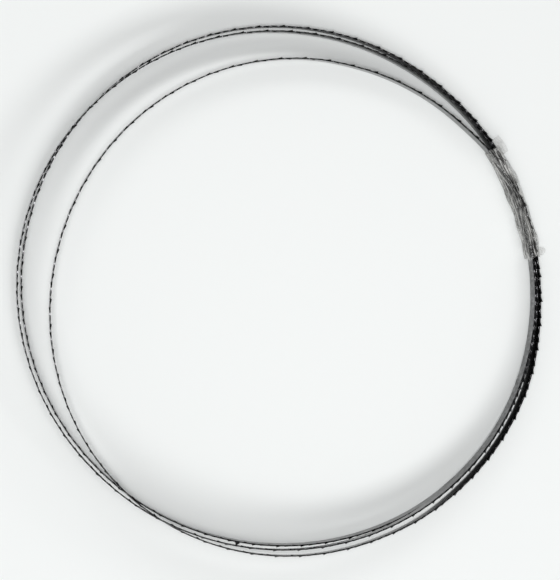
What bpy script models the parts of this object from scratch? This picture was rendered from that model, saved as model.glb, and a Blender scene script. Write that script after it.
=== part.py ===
# Band saw blade: one welded band of steel with teeth on its upper edge, folded into three
# loops as it is stored and shipped, and held there by two wraps of clear adhesive tape.
# Metres, +Z up. The back edge of the lowest loop lies on the ground plane, and the origin is
# at the middle of the coil's bounding box, on that plane.

import math

import bmesh
import bpy
from mathutils import Vector

# The band
TOOTH_PITCH = 0.004233333333    # six teeth to the inch
RAKER_GROUPS = 196              # groups of three teeth: set left, set right, straight
BAND_WIDTH = 0.0127             # half an inch from the back edge to the tooth tips
BAND_THICKNESS = 0.00065
TOOTH_SET = 0.0002              # how far a set tip leans out of the band
GULLET_DEPTH = 0.0018           # tooth tip to the bottom of the gullet
RAKE_HEIGHT = 0.00135           # straight front face of a tooth
GULLET_RUN = 0.00055            # gullet bottom to the front face, along the band

# The coil
STRAND_CLEARANCE = 0.00015      # free space between neighbouring strands at the tape
CROSSING_CLEARANCE = 0.0006     # free space between tooth tips and the loop that crosses them
TIE_BEARING = 19.2              # where the tape holds the coil, degrees from +X
FIRST_CROSSING = 236            # bearing where the middle loop starts to lie on the lowest
SECOND_CROSSING = 241           # bearing where the top loop lies on the middle one
LIFT_SHAPE = 0.9                # 1 tilts the loops like stiff rings, less lifts them sooner
TIE_LEAN = 0.04                 # outward lean of the strands at the tape, as a slope
BUNDLE_OFFSET = 0.0012          # radius of the taped strands less that of the coil
BUNDLE_SHIFT = 0.0012           # the taped strands' curve lies off centre by this much
BUNDLE_BEARING = -70
SAMPLES_PER_TURN = 720          # fine points along each loop, from which the pitch is stepped off

# The tape
TAPE_WALL = 0.0002
TAPE_CLEARANCE = 0.00035        # film to steel
LOWER_WRAP_WIDTH = 0.0275
UPPER_WRAP_WIDTH = 0.0345
WRAP_SEAM = 0.0003              # between the two wraps
WRAP_STEP = 0.0025              # spacing of the wrap's sections along the band
TAPE_CORNER = 0.0002            # small slant where the film turns round the strands
FLAP_HEIGHT = 0.0092            # a loose end of film stands out of the wrap at this height
FLAP_FOLD = 0.0002              # air between the two layers of a loose end
LOWER_FLAP_LENGTH = 0.0042
LOWER_FLAP_WIDTH = 0.0050
UPPER_FLAP_LENGTH = 0.0045
UPPER_FLAP_WIDTH = 0.0135
TAPE_RAMP = 30                  # degrees over which the strands come down beside the tape

# Outlines of the loops where they hang free: radius less that of the coil, then how far the
# loop is off centre, how oval it is and how three-sided
MIDDLE_OFFSET = -0.00405
MIDDLE_OFF_CENTRE = 0.0106
MIDDLE_OVAL = 0.0006
MIDDLE_THREE_SIDED = 0.0006
LOWEST_OFFSET = 0.00245
LOWEST_OFF_CENTRE = 0.0024
LOWEST_OVAL = 0.0014
LOWEST_THREE_SIDED = 0.0003
TOP_OFFSET = 0.00195
TOP_OFF_CENTRE = 0.00245
TOP_OVAL = 0.0020
TOP_THREE_SIDED = 0.00025

# Each loop runs once round from the tape and back to it. Its layer is its place in the stack
# where the loops cross. Its slots are its places among the taped strands as it leaves and
# as it comes back: 1 outermost, 0 middle, -1 innermost. Its waves shape its outline, each a
# size and a bearing. Its reach is how many degrees past the tape it takes to leave its slot,
# and to come back into one.
LOOPS = (
    {
        "layer": 1,
        "slots": (-1, 1),
        "offset": MIDDLE_OFFSET,
        "waves": ((MIDDLE_OFF_CENTRE, -47), (MIDDLE_OVAL, 42), (MIDDLE_THREE_SIDED, -2)),
        "reach": (26, 50),
    },
    {
        "layer": 0,
        "slots": (1, 0),
        "offset": LOWEST_OFFSET,
        "waves": ((LOWEST_OFF_CENTRE, 84), (LOWEST_OVAL, -41), (LOWEST_THREE_SIDED, -25)),
        "reach": (60, 80),
    },
    {
        "layer": 2,
        "slots": (0, -1),
        "offset": TOP_OFFSET,
        "waves": ((TOP_OFF_CENTRE, 146), (TOP_OVAL, -22), (TOP_THREE_SIDED, 58)),
        "reach": (60, 60),
    },
)

# Worked out from the sizes above
TEETH = 3 * RAKER_GROUPS
BAND_LENGTH = TEETH * TOOTH_PITCH
STRAND_STEP = BAND_THICKNESS + 2 * TOOTH_SET + STRAND_CLEARANCE
TIE = math.radians(TIE_BEARING)
TIE_DIRECTION = Vector((math.cos(TIE), math.sin(TIE), 0))


def smooth_ramp(share):
    """0 to 1 with no kink at either end."""
    share = min(max(share, 0.0), 1.0)
    return share ** 3 * (10 - 15 * share + 6 * share ** 2)


def lift_share(turned):
    """How much of its full lift a loop has, a given angle past the tape."""
    return ((1 - math.cos(turned)) / 2) ** LIFT_SHAPE


def full_lift(layer):
    """Lift of a loop opposite the tape, so that it clears the one below where they cross."""
    storey = BAND_WIDTH + CROSSING_CLEARANCE
    lift = 0.0
    for level, bearing in enumerate((FIRST_CROSSING, SECOND_CROSSING), start=1):
        if layer >= level:
            lift += storey / lift_share(math.radians(bearing) - TIE)
    return lift


def bundle_radius(bearing, radius):
    """Radius of the middle strand where the tape holds all three."""
    return radius + BUNDLE_OFFSET + BUNDLE_SHIFT * math.cos(bearing - math.radians(BUNDLE_BEARING))


def tape_lift(bearing):
    """The film under the strands raises them a little beside the tape."""
    away = math.remainder(bearing - TIE, math.tau)
    width = UPPER_WRAP_WIDTH if away > 0 else LOWER_WRAP_WIDTH
    past = abs(away) - width / (BAND_LENGTH / math.tau / len(LOOPS))
    return (TAPE_WALL + TAPE_CLEARANCE) * (1 - smooth_ramp(past / math.radians(TAPE_RAMP)))


def band_place(loop, turned, radius):
    """Back edge of the band and the direction of its width, an angle past the tape."""
    bearing = TIE + turned
    leaving = 1 - smooth_ramp(turned / math.radians(loop["reach"][0]))
    coming = 1 - smooth_ramp((math.tau - turned) / math.radians(loop["reach"][1]))
    free = radius + loop["offset"]
    for order, (size, wave_bearing) in enumerate(loop["waves"], start=1):
        free += size * math.cos(order * (bearing - math.radians(wave_bearing)))
    taped = bundle_radius(bearing, radius)
    middle = (1 - leaving - coming) * free
    middle += leaving * (taped + loop["slots"][0] * STRAND_STEP)
    middle += coming * (taped + loop["slots"][1] * STRAND_STEP)

    lift = full_lift(loop["layer"])
    lean = TIE_LEAN + (lift / (2 * radius) - TIE_LEAN) * lift_share(turned)
    width = (TIE_DIRECTION * lean + Vector((0, 0, 1))).normalized()
    back = Vector((middle * math.cos(bearing), middle * math.sin(bearing), 0))
    back -= Vector((width.x, width.y, 0)) * BAND_WIDTH / 2
    back.z = lift * lift_share(turned) + tape_lift(bearing)
    return back, width


def sample_band(radius):
    """Fine points along the band's back edge: loop, angle past the tape and run so far."""
    samples = []
    run = 0.0
    last = None
    for loop in LOOPS:
        for step in range(SAMPLES_PER_TURN + 1):
            turned = math.tau * step / SAMPLES_PER_TURN
            back = band_place(loop, turned, radius)[0]
            if last is not None:
                run += (back - last).length
            samples.append((loop, turned, run))
            last = back
    return samples


def coil_radius():
    """Radius at which three loops use up exactly the band's length."""
    radius = BAND_LENGTH / math.tau / len(LOOPS)
    for _ in range(4):
        over = sample_band(radius)[-1][2] - BAND_LENGTH
        radius -= over / math.tau / len(LOOPS)
    return radius


def pitch_points(radius):
    """One point on the band's back edge for each tooth, evenly spaced."""
    samples = sample_band(radius)
    length = samples[-1][2]
    points = []
    index = 0
    for tooth in range(TEETH):
        run = length * tooth / TEETH
        while samples[index + 1][2] <= run:
            index += 1
        loop, turned, start = samples[index]
        end = samples[index + 1][2]
        turned += math.tau / SAMPLES_PER_TURN * (run - start) / (end - start)
        points.append(band_place(loop, turned, radius))
    return points


def new_object(name, data, collection, parent=None):
    thing = bpy.data.objects.new(name, data)
    collection.objects.link(thing)
    thing.parent = parent
    return thing


def finish_mesh(mesh, material, sharp_degrees=30):
    mesh.materials.append(material)
    mesh.shade_smooth()
    mesh.set_sharp_from_angle(angle=math.radians(sharp_degrees))


def blade_steel():
    material = bpy.data.materials.new("hardened_steel")
    material.use_nodes = True
    shader = material.node_tree.nodes["Principled BSDF"]
    shader.inputs["Base Color"].default_value = (0.10, 0.105, 0.11, 1)
    shader.inputs["Metallic"].default_value = 0.85
    shader.inputs["Roughness"].default_value = 0.42
    return material


def tape_film():
    material = bpy.data.materials.new("clear_film")
    material.use_nodes = True
    shader = material.node_tree.nodes["Principled BSDF"]
    shader.inputs["Base Color"].default_value = (0.82, 0.82, 0.80, 1)
    shader.inputs["Roughness"].default_value = 0.25
    shader.inputs["Alpha"].default_value = 0.45
    return material


def coil_path(points, collection, parent):
    """Closed path of the back edge. Its tilt leans the band as the loops lie."""
    curve = bpy.data.curves.new("coil_path", "CURVE")
    curve.dimensions = "3D"
    curve.twist_mode = "Z_UP"
    curve.use_stretch = True
    curve.use_deform_bounds = True
    spline = curve.splines.new("POLY")
    spline.points.add(len(points) - 1)
    spline.use_cyclic_u = True
    for index, (back, width) in enumerate(points):
        before = points[index - 1][0]
        after = points[(index + 1) % len(points)][0]
        along = (after - before).normalized()
        upright = (Vector((0, 0, 1)) - along * along.z).normalized()
        outward = along.cross(upright)
        spline.points[index].co = (*back, 1)
        spline.points[index].tilt = math.atan2(width.dot(outward), width.dot(upright))
    path = new_object("coil_path", curve, collection, parent)
    path.hide_render = True
    path.display_type = "WIRE"
    return path


def tooth_group():
    """Middle surface of three teeth in a row, flat, with the band's length along X."""
    mesh = bpy.data.meshes.new("tooth_group")
    group = bmesh.new()
    root = BAND_WIDTH - GULLET_DEPTH
    back = group.verts.new((0, 0, 0))
    gullet = group.verts.new((0, 0, root))
    for number, side in enumerate((1, -1, 0)):
        start = number * TOOTH_PITCH
        next_back = group.verts.new((start + TOOTH_PITCH, 0, 0))
        next_gullet = group.verts.new((start + TOOTH_PITCH, 0, root))
        set_per_height = side * TOOTH_SET / GULLET_DEPTH
        face_foot = BAND_WIDTH - RAKE_HEIGHT
        foot = group.verts.new((start + GULLET_RUN, set_per_height * (face_foot - root), face_foot))
        tip = group.verts.new((start + GULLET_RUN, side * TOOTH_SET, BAND_WIDTH))
        group.faces.new((back, next_back, next_gullet, gullet))
        group.faces.new((gullet, next_gullet, foot))
        group.faces.new((foot, next_gullet, tip))
        back, gullet = next_back, next_gullet
    group.to_mesh(mesh)
    group.free()
    return mesh


def add_blade(points, parts, guides, parent):
    """The flat group of teeth, repeated along the band, bent round the coil and welded."""
    path = coil_path(points, guides, parent)
    mesh = tooth_group()
    finish_mesh(mesh, blade_steel())
    blade = new_object("blade", mesh, parts, parent)

    repeat = blade.modifiers.new("teeth", "ARRAY")
    repeat.count = RAKER_GROUPS
    repeat.use_relative_offset = False
    repeat.use_constant_offset = True
    repeat.constant_offset_displace = (3 * TOOTH_PITCH, 0, 0)
    repeat.use_merge_vertices = True
    repeat.merge_threshold = 0.00001

    bend = blade.modifiers.new("coil", "CURVE")
    bend.object = path
    bend.deform_axis = "POS_X"

    weld = blade.modifiers.new("butt_weld", "WELD")
    weld.merge_threshold = 0.00005

    thicken = blade.modifiers.new("thickness", "SOLIDIFY")
    thicken.thickness = BAND_THICKNESS
    thicken.offset = 0
    thicken.use_even_offset = True
    return blade


def wrap_section(bearing, radius):
    """Outline of the strands at one bearing, as radius and height, with the film's clearance."""
    turned = (bearing - TIE) % math.tau
    outward = Vector((math.cos(bearing), math.sin(bearing), 0))
    backs = []
    tips = []
    for loop in LOOPS:
        back, width = band_place(loop, turned, radius)
        tip = back + width * BAND_WIDTH
        backs.append((back.dot(outward), back.z))
        tips.append((tip.dot(outward), tip.z))
    beside = BAND_THICKNESS / 2 + TAPE_CLEARANCE
    inner_low = min(reach for reach, _ in backs) - beside
    outer_low = max(reach for reach, _ in backs) + beside
    inner_high = min(reach for reach, _ in tips) - beside - TOOTH_SET
    outer_high = max(reach for reach, _ in tips) + beside + TOOTH_SET
    bottom = min(height for _, height in backs) - TAPE_CLEARANCE
    top = max(height for _, height in tips) + TAPE_CLEARANCE

    def outer_at(height):
        return outer_low + (outer_high - outer_low) * (height - bottom) / (top - bottom)

    flap_low = bottom + FLAP_HEIGHT
    flap_high = flap_low + FLAP_FOLD
    return (
        (inner_low, bottom),
        (outer_low, bottom),
        (outer_at(flap_low), flap_low),
        (outer_at(flap_high), flap_high),
        (outer_high, top - TAPE_CORNER),
        (outer_high - TAPE_CORNER, top),
        (inner_high + TAPE_CORNER, top),
        (inner_high, top - TAPE_CORNER),
    )


def add_wrap(name, first, last, flap, radius, film, parts, parent):
    """A sleeve of film round the strands between two bearings, with one loose end.

    The film is lofted through its sections as one open surface. The loose end is a fold
    drawn out of its outer side, and the surface then gets the film's thickness outwards.
    """
    mesh = bpy.data.meshes.new(name)
    sleeve = bmesh.new()
    count = max(4, math.ceil(abs(last - first) * radius / WRAP_STEP))
    rings = []
    for step in range(count + 1):
        bearing = first + (last - first) * step / count
        ring = []
        for reach, height in wrap_section(bearing, radius):
            ring.append(sleeve.verts.new((reach * math.cos(bearing), reach * math.sin(bearing), height)))
        rings.append(ring)
    fold_faces = []
    for step in range(count):
        for side in range(len(rings[0])):
            beside = (side + 1) % len(rings[0])
            near, far = rings[step], rings[step + 1]
            face = sleeve.faces.new((near[side], near[beside], far[beside], far[side]))
            in_flap = (step + 0.5) / count * abs(last - first) * radius < flap["width"]
            if side == 2 and in_flap:
                fold_faces.append(face)
    bmesh.ops.recalc_face_normals(sleeve, faces=sleeve.faces[:])

    drawn = bmesh.ops.extrude_face_region(sleeve, geom=fold_faces)
    drawn_verts = [item for item in drawn["geom"] if isinstance(item, bmesh.types.BMVert)]
    bmesh.ops.delete(sleeve, geom=fold_faces, context="FACES_ONLY")
    bearings = [math.atan2(vert.co.y, vert.co.x) for vert in drawn_verts]
    middle = (min(bearings) + max(bearings)) / 2
    half = (max(bearings) - min(bearings)) / 2
    for vert, bearing in zip(drawn_verts, bearings):
        off_middle = abs(bearing - middle) / half
        share = 1 - flap["rounding"] * off_middle ** 2
        vert.co += Vector((math.cos(bearing), math.sin(bearing), 0)) * flap["length"] * share

    sleeve.to_mesh(mesh)
    sleeve.free()
    finish_mesh(mesh, film)
    wrap = new_object(name, mesh, parts, parent)
    wall = wrap.modifiers.new("film", "SOLIDIFY")
    wall.thickness = TAPE_WALL
    wall.offset = 1
    wall.use_even_offset = True
    return wrap


def add_tape(radius, parts, parent):
    film = tape_film()
    gap = WRAP_SEAM / 2 / radius
    lower_flap = {"length": LOWER_FLAP_LENGTH, "width": LOWER_FLAP_WIDTH, "rounding": 0.6}
    upper_flap = {"length": UPPER_FLAP_LENGTH, "width": UPPER_FLAP_WIDTH, "rounding": 0.15}
    lower_end = TIE - LOWER_WRAP_WIDTH / radius
    upper_end = TIE + UPPER_WRAP_WIDTH / radius
    add_wrap("tape_lower_wrap", lower_end, TIE - gap, lower_flap, radius, film, parts, parent)
    add_wrap("tape_upper_wrap", upper_end, TIE + gap, upper_flap, radius, film, parts, parent)


def centre_on_origin(parts, stand):
    """Moves the stand that carries all parts, so that their box is centred on the origin."""
    graph = bpy.context.evaluated_depsgraph_get()
    corners = []
    for thing in parts.objects:
        for corner in thing.evaluated_get(graph).bound_box:
            corners.append(Vector(corner))
    for axis in (0, 1):
        low = min(corner[axis] for corner in corners)
        high = max(corner[axis] for corner in corners)
        stand.location[axis] = -(low + high) / 2
    stand.location.z = -min(corner.z for corner in corners)


def main():
    for thing in list(bpy.data.objects):
        bpy.data.objects.remove(thing)
    parts = bpy.data.collections.new("band_saw_blade")
    guides = bpy.data.collections.new("guides")
    for collection in (parts, guides):
        bpy.context.scene.collection.children.link(collection)
    stand = new_object("coil_stand", None, guides)

    radius = coil_radius()
    add_blade(pitch_points(radius), parts, guides, stand)
    add_tape(radius, parts, stand)
    centre_on_origin(parts, stand)


main()
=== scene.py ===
# Band saw blade, folded into three loops and taped.
# Metres, +Z up, +Y is the top of the picture. Bearings are degrees from +X.

import bisect
import math

import bmesh
import bpy
from mathutils import Matrix, Vector, noise


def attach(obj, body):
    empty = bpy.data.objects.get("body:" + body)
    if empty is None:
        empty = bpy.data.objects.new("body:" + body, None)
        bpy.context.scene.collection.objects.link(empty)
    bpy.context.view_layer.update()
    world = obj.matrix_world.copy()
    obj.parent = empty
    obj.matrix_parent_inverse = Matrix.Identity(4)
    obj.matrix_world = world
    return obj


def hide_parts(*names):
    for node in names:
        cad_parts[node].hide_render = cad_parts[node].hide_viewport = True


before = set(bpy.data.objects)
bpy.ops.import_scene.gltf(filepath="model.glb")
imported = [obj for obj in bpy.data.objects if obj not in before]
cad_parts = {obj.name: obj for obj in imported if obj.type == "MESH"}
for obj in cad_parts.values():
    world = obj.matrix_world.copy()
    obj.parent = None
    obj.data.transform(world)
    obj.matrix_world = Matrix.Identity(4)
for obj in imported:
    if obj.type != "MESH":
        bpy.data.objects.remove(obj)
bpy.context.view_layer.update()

print("frame loaded:", sorted(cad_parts))


# The route of the band: the numbers of the part's source, and after them small shifts that
# were read from the photo

coil = {
    "toothPitch": 0.0254 / 6,        # six teeth to the inch
    "setSides": (1, -1, 0),          # a group of teeth: set one way, the other way, straight
    "rakerGroups": 196,
    "bandWidth": 0.0127,
    "bandThickness": 0.00065,
    "toothSet": 0.0002,
    "strandClearance": 0.00015,
    "crossingClearance": 0.0006,
    "tieBearing": 19.2,
    "firstCrossing": 236,
    "secondCrossing": 241,
    "liftShape": 0.9,
    "tieLean": 0.04,
    "bundleOffset": 0.0012,
    "bundleShift": 0.0012,
    "bundleBearing": -70,
    "tapeWall": 0.0002,
    "tapeClearance": 0.00035,
    "lowerWrapWidth": 0.0275,
    "upperWrapWidth": 0.0345,
    "tapeRamp": 30,
    "samplesPerTurn": 720,
    "radiusRounds": 4,
    "centre": (0.00006534, -0.000716, 0.00000832),   # where the part stands the coil
    "loops": (                       # waves: off centre, oval and three-sided, each with a bearing
        {
            "layer": 1, "slots": (-1, 1), "offset": -0.00405, "reach": (26, 50),
            "waves": ((0.0106, -47), (0.0006, 42), (0.0006, -2)),
        },
        {
            "layer": 0, "slots": (1, 0), "offset": 0.00245, "reach": (60, 80),
            "waves": ((0.0024, 84), (0.0014, -41), (0.0003, -25)),
        },
        {
            "layer": 2, "slots": (0, -1), "offset": 0.00195, "reach": (60, 60),
            "waves": ((0.00245, 146), (0.0020, -22), (0.00025, 58)),
        },
    ),
    "uprightShare": 0.9,             # how much of its lean a free strand loses
    "spread": (                      # layer, then from, to and ramp in degrees, and how far out
        (1, 288, 354, 18, 0.00042),
        (1, 29, 84, 14, -0.00045),
    ),
    "footSpread": (                  # by layer, how far out the back edge stands from the tips
        (218, 318, 22, 0.0004),
        (218, 318, 22, 0.0010),
        (218, 318, 22, 0.0010),
    ),
}

tie = math.radians(coil["tieBearing"])
groupLength = len(coil["setSides"]) * coil["toothPitch"]
bandLength = coil["rakerGroups"] * groupLength
plainRadius = bandLength / math.tau / len(coil["loops"])     # of three equal circles
coilCentre = Vector(coil["centre"])


def smoothRamp(share):
    # 0 to 1 with no kink at either end
    share = min(max(share, 0.0), 1.0)
    return share ** 3 * (10 - 15 * share + 6 * share ** 2)


def liftShare(turned):
    # how much of its full lift a loop has, an angle past the tape
    return ((1 - math.cos(turned)) / 2) ** coil["liftShape"]


def fullLift(layer):
    # how high a loop rises to clear the ones below it where they cross
    storey = coil["bandWidth"] + coil["crossingClearance"]
    lift = 0.0
    for level, name in enumerate(("firstCrossing", "secondCrossing"), start=1):
        if layer >= level:
            lift += storey / liftShare(math.radians(coil[name]) - tie)
    return lift


def tapeLift(bearing):
    # under the tape the strands lie on the film
    away = math.remainder(bearing - tie, math.tau)
    width = coil["upperWrapWidth"] if away > 0 else coil["lowerWrapWidth"]
    past = abs(away) - width / plainRadius
    rise = coil["tapeWall"] + coil["tapeClearance"]
    return rise * (1 - smoothRamp(past / math.radians(coil["tapeRamp"])))


def bandPlace(loop, turned, radius):
    # back edge of the band and the direction of its width, an angle past the tape
    bearing = tie + turned
    leaving = 1 - smoothRamp(turned / math.radians(loop["reach"][0]))
    coming = 1 - smoothRamp((math.tau - turned) / math.radians(loop["reach"][1]))
    free = radius + loop["offset"]
    for order, (size, waveBearing) in enumerate(loop["waves"], start=1):
        free += size * math.cos(order * (bearing - math.radians(waveBearing)))
    step = coil["bandThickness"] + 2 * coil["toothSet"] + coil["strandClearance"]
    taped = radius + coil["bundleOffset"]
    taped += coil["bundleShift"] * math.cos(bearing - math.radians(coil["bundleBearing"]))
    middle = (1 - leaving - coming) * free
    middle += leaving * (taped + loop["slots"][0] * step)
    middle += coming * (taped + loop["slots"][1] * step)
    lift = fullLift(loop["layer"])
    lean = coil["tieLean"] + (lift / (2 * radius) - coil["tieLean"]) * liftShare(turned)
    width = Vector((math.cos(tie) * lean, math.sin(tie) * lean, 1)).normalized()
    back = Vector((middle * math.cos(bearing), middle * math.sin(bearing), 0))
    back -= Vector((width.x, width.y, 0)) * coil["bandWidth"] / 2
    back.z = lift * liftShare(turned) + tapeLift(bearing)
    return back, width


def sampleBand(radius):
    # loop, angle past the tape and run so far, in fine steps
    samples, run, last = [], 0.0, None
    for loop in coil["loops"]:
        for step in range(coil["samplesPerTurn"] + 1):
            turned = math.tau * step / coil["samplesPerTurn"]
            back = bandPlace(loop, turned, radius)[0]
            if last is not None:
                run += (back - last).length
            samples.append((loop, turned, run))
            last = back
    return samples


def coilRadius():
    # the radius at which the three loops hold the whole band
    radius = plainRadius
    for _ in range(coil["radiusRounds"]):
        radius -= (sampleBand(radius)[-1][2] - bandLength) / math.tau / len(coil["loops"])
    return radius


meanRadius = coilRadius()
samples = sampleBand(meanRadius)
runs = [sample[2] for sample in samples]


def stretchedOver(bearing, start, stop, soft):
    # 1 between two bearings and 0 beyond them
    return smoothRamp((bearing - start) / soft) * smoothRamp((stop - bearing) / soft)


def settled(loop, turned, back, width):
    # away from the tape the real band twists upright under its own stiffness; the tips stay
    tips = back + width * coil["bandWidth"]
    lean = 1 - coil["uprightShare"] * liftShare(turned)
    width = Vector((width.x * lean, width.y * lean, width.z)).normalized()
    back = tips - width * coil["bandWidth"]
    outward = Vector((tips.x, tips.y, 0)).normalized()
    bearing = math.degrees(tie + turned) % 360
    for layer, start, stop, soft, shift in coil["spread"]:
        if layer == loop["layer"]:
            back += outward * shift * stretchedOver(bearing, start, stop, soft)
    start, stop, soft, shift = coil["footSpread"][loop["layer"]]
    foot = outward * shift * stretchedOver(bearing, start, stop, soft)
    width = (width * coil["bandWidth"] - foot).normalized()
    return back + foot, width


def placeAtRun(run):
    # back edge and direction of the width, a distance along the band
    run %= runs[-1]
    index = max(bisect.bisect_right(runs, run) - 1, 0)
    loop, turned, start = samples[index]
    end = runs[index + 1]
    turned += math.tau / coil["samplesPerTurn"] * (run - start) / (end - start)
    return settled(loop, turned, *bandPlace(loop, turned, meanRadius))


# Small helpers

def addObject(name, mesh, material=None):
    thing = bpy.data.objects.new(name, mesh)
    bpy.context.scene.collection.objects.link(thing)
    if material is not None:
        mesh.materials.append(material)
    return thing


def applied(thing, name):
    # the thing with its modifiers applied, as a new object at the origin
    graph = bpy.context.evaluated_depsgraph_get()
    mesh = bpy.data.meshes.new_from_object(
        thing.evaluated_get(graph), preserve_all_data_layers=True, depsgraph=graph)
    old = thing.data
    bpy.data.objects.remove(thing)
    bpy.data.meshes.remove(old)
    mesh.name = name
    return addObject(name, mesh)


def newMaterial(name, plain):
    # a material whose shader has the given plain values
    material = bpy.data.materials.new(name)
    material.use_nodes = True
    tree = material.node_tree
    shader = tree.nodes["Principled BSDF"]
    for socket, value in plain.items():
        shader.inputs[socket].default_value = value
    return material, tree, shader


def textureAlong(tree, layer, along, across, detail, distortion=0.0):
    # noise over the flat length, with its scales along and across
    place = tree.nodes.new("ShaderNodeUVMap")
    place.uv_map = layer
    scale = tree.nodes.new("ShaderNodeMapping")
    scale.inputs["Scale"].default_value = (along, across, 1)
    texture = tree.nodes.new("ShaderNodeTexNoise")
    texture.inputs["Scale"].default_value = 1
    texture.inputs["Detail"].default_value = detail
    texture.inputs["Distortion"].default_value = distortion
    tree.links.new(place.outputs["UV"], scale.inputs["Vector"])
    tree.links.new(scale.outputs["Vector"], texture.inputs["Vector"])
    return texture.outputs["Fac"]


def flatPlace(tree, layer):
    # how far along and how far across the flat length
    place = tree.nodes.new("ShaderNodeUVMap")
    place.uv_map = layer
    split = tree.nodes.new("ShaderNodeSeparateXYZ")
    tree.links.new(place.outputs["UV"], split.inputs["Vector"])
    return split.outputs["X"], split.outputs["Y"]


def ramped(tree, value, low, high, start=0.0, end=1.0, smooth=False):
    ramp = tree.nodes.new("ShaderNodeMapRange")
    if smooth:
        ramp.interpolation_type = "SMOOTHSTEP"
    for name, number in zip(("From Min", "From Max", "To Min", "To Max"), (low, high, start, end)):
        ramp.inputs[name].default_value = number
    tree.links.new(value, ramp.inputs["Value"])
    return ramp.outputs["Result"]


def calculated(tree, operation, first, second, clamped=True):
    node = tree.nodes.new("ShaderNodeMath")
    node.operation = operation
    node.use_clamp = clamped
    for socket, value in zip(node.inputs, (first, second)):
        if isinstance(value, (int, float)):
            socket.default_value = value
        else:
            tree.links.new(value, socket)
    return node.outputs[0]


def mixedColours(tree, share, first, second):
    mix = tree.nodes.new("ShaderNodeMix")
    mix.data_type = "RGBA"
    for name, value in (("A", first), ("B", second)):
        if isinstance(value, tuple):
            mix.inputs[name].default_value = (*value, 1)
        else:
            tree.links.new(value, mix.inputs[name])
    tree.links.new(share, mix.inputs["Factor"])
    return mix.outputs["Result"]


# The blade

blade = {
    "faceAt": 0.00055,               # front face of a tooth, along the band
    "land": 0.00012,                 # flat tip
    "backSlope": 37,                 # degrees
    "slopeRun": 0.0023,
    "gulletRound": 0.00042,
    "slopeRound": 0.0005,
    "roundSteps": 5,
    "cellStart": -0.00203,           # a cell starts on the slope of the tooth before
    "cutsBelow": (0.0030, 0.0023, 0.0014, 0.0010, 0.0005),   # rows of points, under the tips
    "cutsAlong": (0.25, 0.5, 0.75),  # columns of points, as shares of the pitch
    "cutWithin": 0.000001,
    "setFrom": 0.0017,               # the tooth bends this far below its tip
    "setStart": 0.0002,              # and here along the band it takes over from the last one
    "set": 0.00042,
    "setCurve": 1.15,
    "cellsWithin": 0.000005,         # points closer than this are merged: cells, groups, the weld
    "groupsWithin": 0.00001,
    "weldWithin": 0.00003,
    "pathPerTooth": 3,
    "edgeRound": 0.000045,
    "roundedAbove": 55,              # degrees
    "sharpAbove": 32,
    "bentTooth": {                   # over: how far above the tip it still reaches, as a share
        "loop": 1, "bearing": 259.6, "far": 0.0017,
        "reach": 0.0021, "soft": 1.6, "high": 0.0021, "over": 1.3,
    },
}


def toothCell():
    # side view of one tooth, flat, as a sheet with its gullet rounded
    pitch, width = coil["toothPitch"], coil["bandWidth"]
    slope = math.tan(math.radians(blade["backSlope"]))
    face, land, start = blade["faceAt"], blade["land"], blade["cellStart"]
    stop = start + pitch
    shoulder = width - slope * (stop - face - land)
    gulletFloor = width - slope * blade["slopeRun"]
    outline = (
        (start, 0), (stop, 0), (stop, shoulder), (face + land, width), (face, width),
        (face, gulletFloor),
        (face + land + blade["slopeRun"] - pitch, gulletFloor), (start, shoulder),
    )
    cell = bmesh.new()
    corners = [cell.verts.new((x, 0, z)) for x, z in outline]
    cell.faces.new(corners)
    for corner, offset in ((corners[6], blade["slopeRound"]), (corners[5], blade["gulletRound"])):
        bmesh.ops.bevel(
            cell, geom=[corner], offset=offset, offset_type="OFFSET",
            segments=blade["roundSteps"], profile=0.5, affect="VERTICES", material=-1)
    below = sorted((*blade["cutsBelow"], blade["setFrom"]), reverse=True)
    cuts = [((0, 0, width - depth), (0, 0, 1)) for depth in below]
    cuts += [((start + share * pitch, 0, 0), (1, 0, 0)) for share in blade["cutsAlong"]]
    for place, normal in cuts:
        bmesh.ops.bisect_plane(
            cell, geom=cell.verts[:] + cell.edges[:] + cell.faces[:], dist=blade["cutWithin"],
            plane_co=place, plane_no=normal)
    return cell


def toothGroup():
    # teeth in a row, each set to its own side
    pitch, width, sides = coil["toothPitch"], coil["bandWidth"], coil["setSides"]
    group = toothCell()
    first = group.verts[:] + group.edges[:] + group.faces[:]
    for number in range(1, len(sides)):
        copied = bmesh.ops.duplicate(group, geom=first)
        moved = [item for item in copied["geom"] if isinstance(item, bmesh.types.BMVert)]
        bmesh.ops.translate(group, verts=moved, vec=(number * pitch, 0, 0))
    bmesh.ops.remove_doubles(group, verts=group.verts[:], dist=blade["cellsWithin"])
    bend = width - blade["setFrom"]
    for vert in group.verts:
        side = sides[math.floor((vert.co.x - blade["setStart"]) / pitch) % len(sides)]
        if vert.co.z > bend and side:
            share = ((vert.co.z - bend) / blade["setFrom"]) ** blade["setCurve"]
            vert.co.y += side * blade["set"] * share
    bmesh.ops.triangulate(group, faces=group.faces[:])
    bmesh.ops.recalc_face_normals(group, faces=group.faces[:])
    flat = group.loops.layers.uv.new("alongBand")
    for face in group.faces:
        for loop in face.loops:
            # groups of teeth along the band, millimetres across it
            loop[flat].uv = (loop.vert.co.x / groupLength, loop.vert.co.z * 1000)
    mesh = bpy.data.meshes.new("toothGroup")
    group.to_mesh(mesh)
    group.free()
    return mesh


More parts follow.
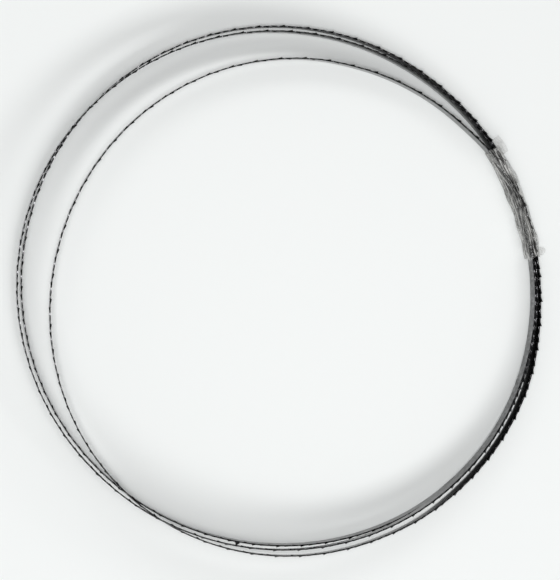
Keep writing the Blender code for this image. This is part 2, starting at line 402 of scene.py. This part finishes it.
def bandPath():
    # the back edge as a closed curve, along which the flat sheet is bent
    count = len(coil["setSides"]) * coil["rakerGroups"] * blade["pathPerTooth"]
    places = [placeAtRun(blade["cellStart"] + runs[-1] * step / count) for step in range(count)]
    curve = bpy.data.curves.new("bandPath", "CURVE")
    curve.dimensions = "3D"
    curve.twist_mode = "Z_UP"
    curve.use_stretch = True
    curve.use_deform_bounds = True
    spline = curve.splines.new("POLY")
    spline.points.add(count - 1)
    spline.use_cyclic_u = True
    for index, (back, width) in enumerate(places):
        along = (places[(index + 1) % count][0] - places[index - 1][0]).normalized()
        upright = (Vector((0, 0, 1)) - along * along.z).normalized()
        outward = along.cross(upright)
        spline.points[index].co = (*back, 1)
        spline.points[index].tilt = math.atan2(width.dot(outward), width.dot(upright))
    return addObject("bandPath", curve)


def bendOneTooth(mesh):
    # a tooth that is set further out than the others
    bent = blade["bentTooth"]
    turned = math.radians(bent["bearing"]) - tie
    back, width = bandPlace(coil["loops"][bent["loop"]], turned, meanRadius)
    tip = back + width * coil["bandWidth"]
    outward = Vector((tip.x, tip.y, 0)).normalized()
    for vert in mesh.vertices:
        near = 1 - (vert.co - tip).xy.length / bent["reach"]
        above = (vert.co.z - tip.z + bent["high"]) / bent["high"]
        if near > 0 and 0 < above < bent["over"]:
            vert.co += outward * bent["far"] * smoothRamp(near * bent["soft"]) * above


def addBlade(faceSteel, edgeSteel):
    path = bandPath()
    band = addObject("bandSheet", toothGroup())
    band.data.materials.append(faceSteel)
    band.data.materials.append(edgeSteel)
    repeat = band.modifiers.new("teeth", "ARRAY")
    repeat.count = coil["rakerGroups"]
    repeat.use_relative_offset = False
    repeat.use_constant_offset = True
    repeat.constant_offset_displace = (groupLength, 0, 0)
    repeat.use_merge_vertices = True
    repeat.merge_threshold = blade["groupsWithin"]
    repeat.offset_u = 1              # the texture runs on from group to group
    bend = band.modifiers.new("coil", "CURVE")
    bend.object = path
    bend.deform_axis = "POS_X"
    weld = band.modifiers.new("buttWeld", "WELD")
    weld.merge_threshold = blade["weldWithin"]
    wall = band.modifiers.new("thickness", "SOLIDIFY")
    wall.thickness = coil["bandThickness"]
    wall.offset = 0
    wall.use_even_offset = True
    wall.material_offset_rim = 1
    rounding = band.modifiers.new("edgeRound", "BEVEL")
    rounding.width = blade["edgeRound"]
    rounding.segments = 1
    rounding.limit_method = "ANGLE"
    rounding.angle_limit = math.radians(blade["roundedAbove"])
    rounding.material = 1
    piece = applied(band, "toothedBand")
    bpy.data.objects.remove(path)
    bendOneTooth(piece.data)
    piece.data.transform(Matrix.Translation(coilCentre))
    piece.data.shade_smooth()
    piece.data.set_sharp_from_angle(angle=math.radians(blade["sharpAbove"]))
    return piece


steel = {
    "face": (0.13, 0.13, 0.133),             # dark rolled and oiled strip
    "faceBright": (0.25, 0.25, 0.255),
    "grazing": (0.5, 1.0),                   # how much of the floor it mirrors, stained and clean
    "faceRoughness": (0.10, 0.28),
    "streaks": ((0.12, 5.5, 3), (0.38, 0.66)),     # noise per mm, and what part of it shows
    "specks": ((0.75, 0.2, 2, 0.4), (0.42, 0.60)),
    "stains": ((0.05, 0.16, 2), (0.40, 0.64)),
    "wornShares": (0.4, 0.5),                # of the streaks and the specks
    "cleanStains": 0.2,
    "roughShares": (0.45, 0.45),             # of the stains and the specks
    "toothZone": (0.035, 0.035, 0.038),      # hardened dark, below the tips; also the colour of the painted shade stretches
    "toothZoneGrazing": 0.2,
    "toothZoneRough": 0.08,
    "toothZoneHeights": (9.1, 10.5),         # on the band, mm
    # how far the painted shade goes toward the tooth zone colour
    "paintedShadeShare": 0.75,
    "paintedShadeStretches": (                       # painted shade on faces that sit close behind another strand: from, to and ramp along the band, and heights, mm
        (560, 1110, 90, 0.5, 3.5),           # the outermost strand on the taped side
        (1640, 1900, 90, 4.0, 6.5),          # the middle one above the tape
    ),
    "edge": (0.06, 0.06, 0.062),
    "edgeRoughness": 0.24,
}


def bandFaceSteel():
    material, tree, shader = newMaterial("rolledSteel", {"Metallic": 1})
    group = groupLength * 1000       # one unit of the texture along the band, in mm
    along, across = flatPlace(tree, "alongBand")

    def times(first, second):
        return calculated(tree, "MULTIPLY", first, second)

    def plus(first, second):
        return calculated(tree, "ADD", first, second)

    def grain(name):
        (perAlong, *rest), shown = steel[name]
        return ramped(tree, textureAlong(tree, "alongBand", perAlong * group, *rest), *shown)

    streaks, specks, stains = grain("streaks"), grain("specks"), grain("stains")
    dark = ramped(tree, across, *steel["toothZoneHeights"], smooth=True)
    # painted shade: along these stretches the face is darkened toward the tooth zone colour and
    # mirrors less
    for start, stop, soft, low, high in steel["paintedShadeStretches"]:
        stretch = times(ramped(tree, along, start / group, (start + soft) / group),
                        ramped(tree, along, (stop - soft) / group, stop / group, 1, 0))
        paintedShade = ramped(tree, across, low, high, 0, steel["paintedShadeShare"], smooth=True)
        dark = calculated(tree, "MAXIMUM", dark, times(stretch, paintedShade))
    streakShare, speckShare = steel["wornShares"]
    worn = plus(times(streaks, streakShare), times(specks, speckShare))
    colour = mixedColours(tree, worn, steel["face"], steel["faceBright"])
    colour = mixedColours(tree, dark, colour, steel["toothZone"])
    tree.links.new(colour, shader.inputs["Base Color"])
    clean = plus(worn, times(stains, steel["cleanStains"]))
    grazing = ramped(tree, clean, 0, 1, *steel["grazing"])
    grazing = mixedColours(tree, dark, grazing, (steel["toothZoneGrazing"],) * 3)
    tree.links.new(grazing, shader.inputs["Specular Tint"])
    stainShare, speckShare = steel["roughShares"]
    rough = plus(times(stains, stainShare), times(specks, speckShare))
    rough = ramped(tree, rough, 0, 1, *steel["faceRoughness"])
    rough = plus(rough, times(dark, steel["toothZoneRough"]))
    tree.links.new(rough, shader.inputs["Roughness"])
    return material


def bandEdgeSteel():
    plain = {
        "Base Color": (*steel["edge"], 1), "Metallic": 1, "Roughness": steel["edgeRoughness"],
    }
    return newMaterial("milledEdge", plain)[0]


toothedBand = addBlade(bandFaceSteel(), bandEdgeSteel())
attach(toothedBand, "root")
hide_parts("blade")
print("blade:", len(toothedBand.data.polygons), "faces")


# The tape

tape = {
    "wall": 0.00007,
    "stepAlong": 0.00045,
    "pointsAround": 84,
    "mergeWithin": 0.000005,
    "lastTurn": 0.999,               # points beyond this share of a turn lie on the first ones
    "ragged": 0.0020,                # how unevenly the film is torn off at its outer ends
    "tears": ((9, 0.5, 1.0), (31, 4, 0.6)),        # noise per turn, its row and its share
    "tearMiddle": 0.5,
    "crinkle": 0.00022,
    "crinkleUp": 0.35,               # how much of it also lifts the film
    "folds": ((0.16, 34, 0, 1.0), (0.45, 80, 5, 0.5)),    # per mm, per turn, row and share
    "clear": 0.0004,                 # film to strand, low on the sides
    "leastBottom": 0.00006,          # over the ground, before and after the crinkles
    "leastHeight": 0.00005,
    "aboveTips": 0.0003,
    "topInner": ((-0.0004, -0.0011), (-0.0001, 0.0001)),  # corners out and up from the tips
    "topMiddle": 0.00022,
    "topOuter": ((0.0001, 0.0001), (0.0005, -0.0012)),
    "sideHeights": (0.0022, 0.0052, 0.0085),
    "innerTent": {                   # how far the film stands off the strands, by a noise
        "least": 0.0007, "more": 0.0030, "level": 0.8, "swing": 0.5, "noise": (11, 3.1),
        "shape": (0.9, 1.0, 0.8),    # at the side heights
    },
    "outerTent": {
        "least": 0.0009, "more": 0.0017, "level": 0.5, "swing": 1.0, "noise": (16, 8.4),
        "shape": (0.8, 1.1, 1.0),
    },
    "tentReach": 0.27,               # radians from the seam to where the inner side lies close
    "curvePull": 0.35,
    "wraps": (                       # node, torn end, end at the seam, number for its noise
        ("tape_lower_wrap", -0.0275, -0.00015, 3),
        ("tape_upper_wrap", 0.0345, 0.00015, 11),
    ),
    "looseEnds": {
        "tape_lower_wrap": {
            "bearing": 8.7, "width": 0.0062, "length": 0.0054,
            "height": 0.0092, "roundness": 1.0, "droop": 0.0010,
        },
        "tape_upper_wrap": {
            "bearing": 33.6, "width": 0.0094, "length": 0.0056,
            "height": 0.0094, "roundness": 0.12, "droop": 0.0016,
        },
    },
    "looseGrid": (14, 10),
    "looseWave": 0.0006,
    "looseNoise": (3, 2.2),
    "looseNarrowing": 0.12,
    "cornerCut": 0.75,               # of the length, at the corners of a round end
    "cornerShape": 2.4,
    "textureTurn": 40,               # the texture: one turn round the strands, millimetres along
    "textureStep": 100,              # between the wraps
    "looseTexture": (700, 60),       # where the loose ends have theirs
}


def noiseAt(*place):
    return noise.noise(Vector(place))


def strandsAt(bearing):
    # back edge and direction of the width of the three strands
    away = math.remainder(bearing - tie, math.tau)
    turned = away if away >= 0 else math.tau + away
    return [bandPlace(loop, turned, meanRadius) for loop in coil["loops"]]


def standOff(tent, bearing, seed, share=1.0):
    # how far the film stands off the strands at the side heights
    perRadian, row = tent["noise"]
    level = tent["level"] + tent["swing"] * noiseAt(bearing * perRadian, row, seed)
    far = tent["least"] + tent["more"] * share * level
    return [(far * shape, height) for shape, height in zip(tent["shape"], tape["sideHeights"])]


def filmOutline(bearing, seed):
    # closed outline of the film round the strands, as corners of radius and height
    places = strandsAt(bearing)
    half, clear = coil["bandThickness"] / 2, tape["clear"]
    tips = [back + width * coil["bandWidth"] for back, width in places]
    feet = [math.hypot(back.x, back.y) for back, width in places]
    tops = [math.hypot(tip.x, tip.y) for tip in tips]
    inside, outside = min(feet) - half, max(feet) + half
    insideTop, outsideTop = min(tops) - half, max(tops) + half
    low = min(back.z for back, width in places)
    high = max(tip.z for tip in tips) + tape["aboveTips"]
    bottom = max(low - clear, tape["leastBottom"])
    middleShare = max(1 - (math.remainder(bearing - tie, math.tau) / tape["tentReach"]) ** 2, 0)
    inner = standOff(tape["innerTent"], bearing, seed, middleShare)
    outer = standOff(tape["outerTent"], bearing, seed)
    return (
        (inside - clear, bottom),
        *((inside - far, low + height) for far, height in inner),
        *((insideTop + out, high + up) for out, up in tape["topInner"]),
        ((insideTop + outsideTop) / 2, high + tape["topMiddle"]),
        *((outsideTop + out, high + up) for out, up in tape["topOuter"]),
        *((outside + far, low + height) for far, height in reversed(outer)),
        (outside + clear, bottom), ((inside + outside) / 2, bottom),
    )


def roundTheOutline(corners, share):
    # smooth closed curve through the corners
    count = len(corners)
    place = (share % 1) * count
    index, part = int(place), place % 1
    before, start, end, after = (
        Vector(corners[(index + step) % count]) for step in (-1, 0, 1, 2))
    pull, push = (end - before) * tape["curvePull"], (after - start) * tape["curvePull"]
    square, cube = part ** 2, part ** 3
    return (start * (2 * cube - 3 * square + 1) + pull * (cube - 2 * square + part)
            + end * (3 * square - 2 * cube) + push * (cube - square))


def filmPoint(bearing, around, seed):
    at = roundTheOutline(filmOutline(bearing, seed), around)
    along = bearing * meanRadius * 1000
    fold = sum(share * noiseAt(along * perLength, around * perTurn, seed + row)
               for perLength, perTurn, row, share in tape["folds"])
    # away from the strands on the outer half and on the inner one
    at.x += tape["crinkle"] * fold * (1 if around > 0.5 else -1)
    at.y += tape["crinkle"] * tape["crinkleUp"] * abs(fold)
    at.y = max(at.y, tape["leastHeight"])
    return Vector((at.x * math.cos(bearing), at.x * math.sin(bearing), at.y))


def addSleeve(sleeve, flat, tornEnd, seamEnd, seed):
    # the film round the strands, with its torn outer end
    count = round(abs(tornEnd - seamEnd) / tape["stepAlong"])
    bmesh.ops.create_grid(sleeve, x_segments=count, y_segments=tape["pointsAround"], size=0.5)
    shares = {vert: (vert.co.x + 0.5, vert.co.y + 0.5) for vert in sleeve.verts}
    for face in sleeve.faces:
        for loop in face.loops:
            run, turn = shares[loop.vert]
            run = tornEnd + (seamEnd - tornEnd) * run
            loop[flat].uv = (run * 1000 + seed * tape["textureStep"], turn * tape["textureTurn"])
    for vert, (run, turn) in shares.items():
        turn = turn if turn < tape["lastTurn"] else 0.0
        tear = sum(share * noiseAt(turn * perTurn, seed, row)
                   for perTurn, row, share in tape["tears"])
        end = tornEnd * (1 + tape["ragged"] / abs(tornEnd) * (tear - tape["tearMiddle"]))
        bearing = tie + (end + (seamEnd - end) * run) / meanRadius
        vert.co = filmPoint(bearing, turn, seed)
    bmesh.ops.remove_doubles(sleeve, verts=sleeve.verts[:], dist=tape["mergeWithin"])


def addLooseEnd(sleeve, flat, node, seed):
    loose = tape["looseEnds"][node]
    width, length, roundness = loose["width"], loose["length"], loose["roundness"]
    centre = math.radians(loose["bearing"])
    columns, rows = tape["looseGrid"]
    perWidth, perLength = tape["looseNoise"]
    textureAcross, textureOut = tape["looseTexture"]
    made = bmesh.ops.create_grid(sleeve, x_segments=columns, y_segments=rows, size=0.5)
    places = {vert: (vert.co.x, vert.co.y + 0.5) for vert in made["verts"]}
    for face in {face for vert in made["verts"] for face in vert.link_faces}:
        for loop in face.loops:
            side, out = places[loop.vert]
            loop[flat].uv = (side * width * 1000 + textureAcross, out * length * 1000 + textureOut)
    outside = max(math.hypot(back.x, back.y) for back, _ in strandsAt(centre))
    for vert, (side, out) in places.items():
        corner = (2 * abs(side)) ** tape["cornerShape"] * tape["cornerCut"]
        far = outside + tape["clear"] + out * length * (1 - roundness * corner)
        narrow = 1 - tape["looseNarrowing"] * out * roundness
        angle = centre + side * width * narrow / meanRadius
        wave = tape["looseWave"] * noiseAt(side * perWidth, out * perLength, seed)
        height = loose["height"] - loose["droop"] * out ** 2 + wave * out
        vert.co = Vector((far * math.cos(angle), far * math.sin(angle), height))


def addWrap(node, tornEnd, seamEnd, seed, film, filmEdge):
    sleeve = bmesh.new()
    flat = sleeve.loops.layers.uv.new("alongFilm")
    addSleeve(sleeve, flat, tornEnd, seamEnd, seed)
    addLooseEnd(sleeve, flat, node, seed)
    bmesh.ops.recalc_face_normals(sleeve, faces=sleeve.faces[:])
    bmesh.ops.translate(sleeve, verts=sleeve.verts[:], vec=coilCentre)
    mesh = bpy.data.meshes.new(node)
    sleeve.to_mesh(mesh)
    sleeve.free()
    wrap = addObject(node.replace("_", "") + "Film", mesh, film)
    mesh.materials.append(filmEdge)
    wall = wrap.modifiers.new("wall", "SOLIDIFY")
    wall.thickness = tape["wall"]
    wall.offset = 0
    wall.material_offset_rim = 1
    wrap = applied(wrap, wrap.name)
    wrap.data.shade_smooth()
    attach(wrap, "root")
    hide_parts(node)
    return wrap


filmLook = {
    "plain": {"Roughness": 0.2, "IOR": 1.48},
    "bare": 0.012,                   # how much the flat, stuck-down film covers
    "innerSide": (6.5, 10.5),        # round the strands, 0 to 40: the side inside the coil
    "outerSide": (20.5, 22.5),
    "looseEnd": (59, 59.5),          # the loose end has its own numbers there
    "innerHaze": 0.16,
    "outerHaze": 0.04,
    "looseHaze": 0.06,
    "sheenPatchCover": 0.13,
    "sheenPatchAlong": (281.5, 297, 0.8),     # a smooth patch by the seam, grey as a painted reflection of the flat glossy film
    "sheenPatchRound": (11.0, 17.0, 0.5),
    "creases": {                     # painted highlights along the crinkles, and painted dark reflection: noise along and across, detail, distortion, line at, width
        "lengthwise": (0.06, 0.42, 2, 0.5, 0.5, 0.055),
        "fine": (0.12, 1.2, 1, 0.7, 0.52, 0.026),
        "crosswise": (0.55, 0.35, 2, 1.2, 0.5, 0.02),
        # painted dark reflection: dark streaks on the film's inner side
        "darkReflection": (0.10, 1.1, 2, 0.7, 0.47, 0.04),
    },
    "creaseCore": 0.25,              # how much of the width is at full strength
    "patches": ((0.09, 0.10, 1), (0.42, 0.62)),    # noise, and what part of it shows
    "fineShare": 0.5,
    "outsidePatches": 0.4,           # how strong creases are between the patches
    "crosswiseShare": 0.5,
    "looseShare": 0.3,               # and on the loose ends
    "creaseCover": 0.85,
    "creasesOnTop": 0.58,            # of that, where the film lies over the teeth
    "darkReflectionCover": 0.45,
    "grey": (0.46, 0.46, 0.44),
    # colour of the painted crease highlights
    "white": (0.95, 0.95, 0.93),
    # colour of the painted dark reflection streaks
    "dark": (0.09, 0.09, 0.085),
    # cut and torn edges: white, partly the film's own edge and partly painted highlight
    "cutEdge": {"Base Color": (0.9, 0.9, 0.88, 1), "Roughness": 0.4, "Alpha": 0.6},
}


def clearFilm():
    # clear film: white along the creases as painted highlights of the crinkles, and grey where it
    # hangs free of the steel
    material, tree, shader = newMaterial("clearFilm", filmLook["plain"])
    along, around = flatPlace(tree, "alongFilm")

    def times(first, second):
        return calculated(tree, "MULTIPLY", first, second)

    def plus(first, second):
        return calculated(tree, "ADD", first, second)

    def crease(name):
        # 1 where the noise is at its line, 0 further off than the width
        *texture, line, width = filmLook["creases"][name]
        away = calculated(
            tree, "SUBTRACT", textureAlong(tree, "alongFilm", *texture), line, clamped=False)
        away = calculated(tree, "ABSOLUTE", away, 0.0, clamped=False)
        core = width * filmLook["creaseCore"]
        return ramped(tree, away, core, width, 1, 0, smooth=True)

    def between(value, low, high, soft):
        return times(ramped(tree, value, low - soft, low + soft),
                     ramped(tree, value, high - soft, high + soft, 1, 0))

    inner = ramped(tree, around, *filmLook["innerSide"], 1, 0)
    outer = ramped(tree, around, *filmLook["outerSide"])
    loose = ramped(tree, around, *filmLook["looseEnd"])
    wrapped = calculated(tree, "SUBTRACT", 1, loose)
    texture, shown = filmLook["patches"]
    patches = ramped(tree, textureAlong(tree, "alongFilm", *texture), *shown)
    # painted reflection: a grey patch where the flat film by the seam mirrors the room
    sheenPatch = times(between(along, *filmLook["sheenPatchAlong"]),
                   between(around, *filmLook["sheenPatchRound"]))

    # painted highlights: white lines along the crinkles, weaker over the teeth
    fine = times(crease("fine"), filmLook["fineShare"])
    crosswise = times(crease("crosswise"), times(patches, filmLook["crosswiseShare"]))
    white = calculated(tree, "MAXIMUM", crease("lengthwise"), fine)
    white = times(white, ramped(tree, patches, 0, 1, filmLook["outsidePatches"], 1))
    white = calculated(tree, "MAXIMUM", white, crosswise)
    white = times(white, plus(wrapped, filmLook["looseShare"]))
    white = times(white, ramped(tree, inner, 0, 1, filmLook["creasesOnTop"], 1))
    # painted dark reflection: dark streaks on the film's inner side
    darkReflection = times(crease("darkReflection"), times(inner, wrapped))

    alpha = plus(times(inner, filmLook["innerHaze"]), times(outer, filmLook["outerHaze"]))
    alpha = plus(alpha, times(loose, filmLook["looseHaze"]))
    alpha = plus(alpha, times(sheenPatch, filmLook["sheenPatchCover"]))
    alpha = plus(plus(alpha, filmLook["bare"]), times(white, filmLook["creaseCover"]))
    alpha = plus(alpha, times(darkReflection, filmLook["darkReflectionCover"]))
    tree.links.new(alpha, shader.inputs["Alpha"])
    colour = mixedColours(tree, white, filmLook["grey"], filmLook["white"])
    darkReflectionShare = times(darkReflection, calculated(tree, "SUBTRACT", 1, white))
    colour = mixedColours(tree, darkReflectionShare, colour, filmLook["dark"])
    tree.links.new(colour, shader.inputs["Base Color"])
    return material


film, filmEdge = clearFilm(), newMaterial("cutFilmEdge", filmLook["cutEdge"])[0]
for node, tornEnd, seamEnd, seed in tape["wraps"]:
    wrap = addWrap(node, tornEnd, seamEnd, seed, film, filmEdge)
    print("tape:", wrap.name, len(wrap.data.polygons), "faces")


# Floor, light and camera

studio = {
    "floorSize": 6.0,
    "floor": {
        "Base Color": (0.905, 0.925, 0.918, 1), "Roughness": 0.9, "Specular IOR Level": 0.1,
    },
    "room": 0.20,
    "backdrop": 0.88,
    "lamps": (                       # name, bearing, elevation, distance, size, share of the light
        ("overhead", 182, 83.5, 1.7, (0.36, 0.36), 0.46),
        ("key", -66, 56, 1.85, (1.8, 0.6), 0.32),
        ("fill", 90, 50, 1.85, (2.0, 0.5), 0.10),
    ),
    "distance": 1.48,
    "towards": (-0.11, 0.039, 0.993),
    "pixelsPerMetre": 1925,
    "longSide": 580,
    "sensor": 36,
    "clipEnd": 20,
}


def addFloor():
    sheet = bmesh.new()
    bmesh.ops.create_grid(sheet, x_segments=1, y_segments=1, size=studio["floorSize"] / 2)
    mesh = bpy.data.meshes.new("floor")
    sheet.to_mesh(mesh)
    sheet.free()
    floor = addObject("floor", mesh, newMaterial("paleFloor", studio["floor"])[0])


def addLamps():
    for name, bearing, elevation, far, size, share in studio["lamps"]:
        azimuth, height = math.radians(bearing), math.radians(elevation)
        place = Vector((math.cos(azimuth) * math.cos(height),
                        math.sin(azimuth) * math.cos(height), math.sin(height)))
        lamp = bpy.data.lights.new(name, "AREA")
        lamp.shape = "RECTANGLE"
        lamp.size, lamp.size_y = size
        # watts that light the middle of the floor by this share
        lamp.energy = share * (math.pi * far) ** 2 / math.sin(height)
        thing = addObject(name, lamp)
        thing.location = place * far
        thing.rotation_euler = place.to_track_quat("Z", "Y").to_euler()


def addRoom():
    # a dim room that lights the coil from all sides, seen as a pale backdrop
    world = bpy.data.worlds.new("studio")
    bpy.context.scene.world = world
    world.use_nodes = True
    tree = world.node_tree
    path = tree.nodes.new("ShaderNodeLightPath")
    background = tree.nodes["Background"]
    background.inputs["Color"].default_value = (1, 1, 1, 1)
    level = ramped(tree, path.outputs["Is Camera Ray"], 0, 1, studio["room"], studio["backdrop"])
    tree.links.new(level, background.inputs["Strength"])


def addCamera():
    view = Vector(studio["towards"]).normalized()
    right = Vector((0, 1, 0)).cross(view).normalized()
    up = view.cross(right)
    camera = bpy.data.cameras.new("camera")
    camera.sensor_width = studio["sensor"]
    pixelsAway = studio["pixelsPerMetre"] * studio["distance"]
    camera.lens = pixelsAway / studio["longSide"] * studio["sensor"]
    camera.clip_end = studio["clipEnd"]
    thing = addObject("camera", camera)
    thing.location = view * studio["distance"]
    thing.rotation_euler = Matrix((right, up, view)).transposed().to_euler()
    bpy.context.scene.camera = thing


addFloor()
addRoom()
addLamps()
addCamera()
bpy.context.scene.view_settings.view_transform = "Standard"
print("studio ready")
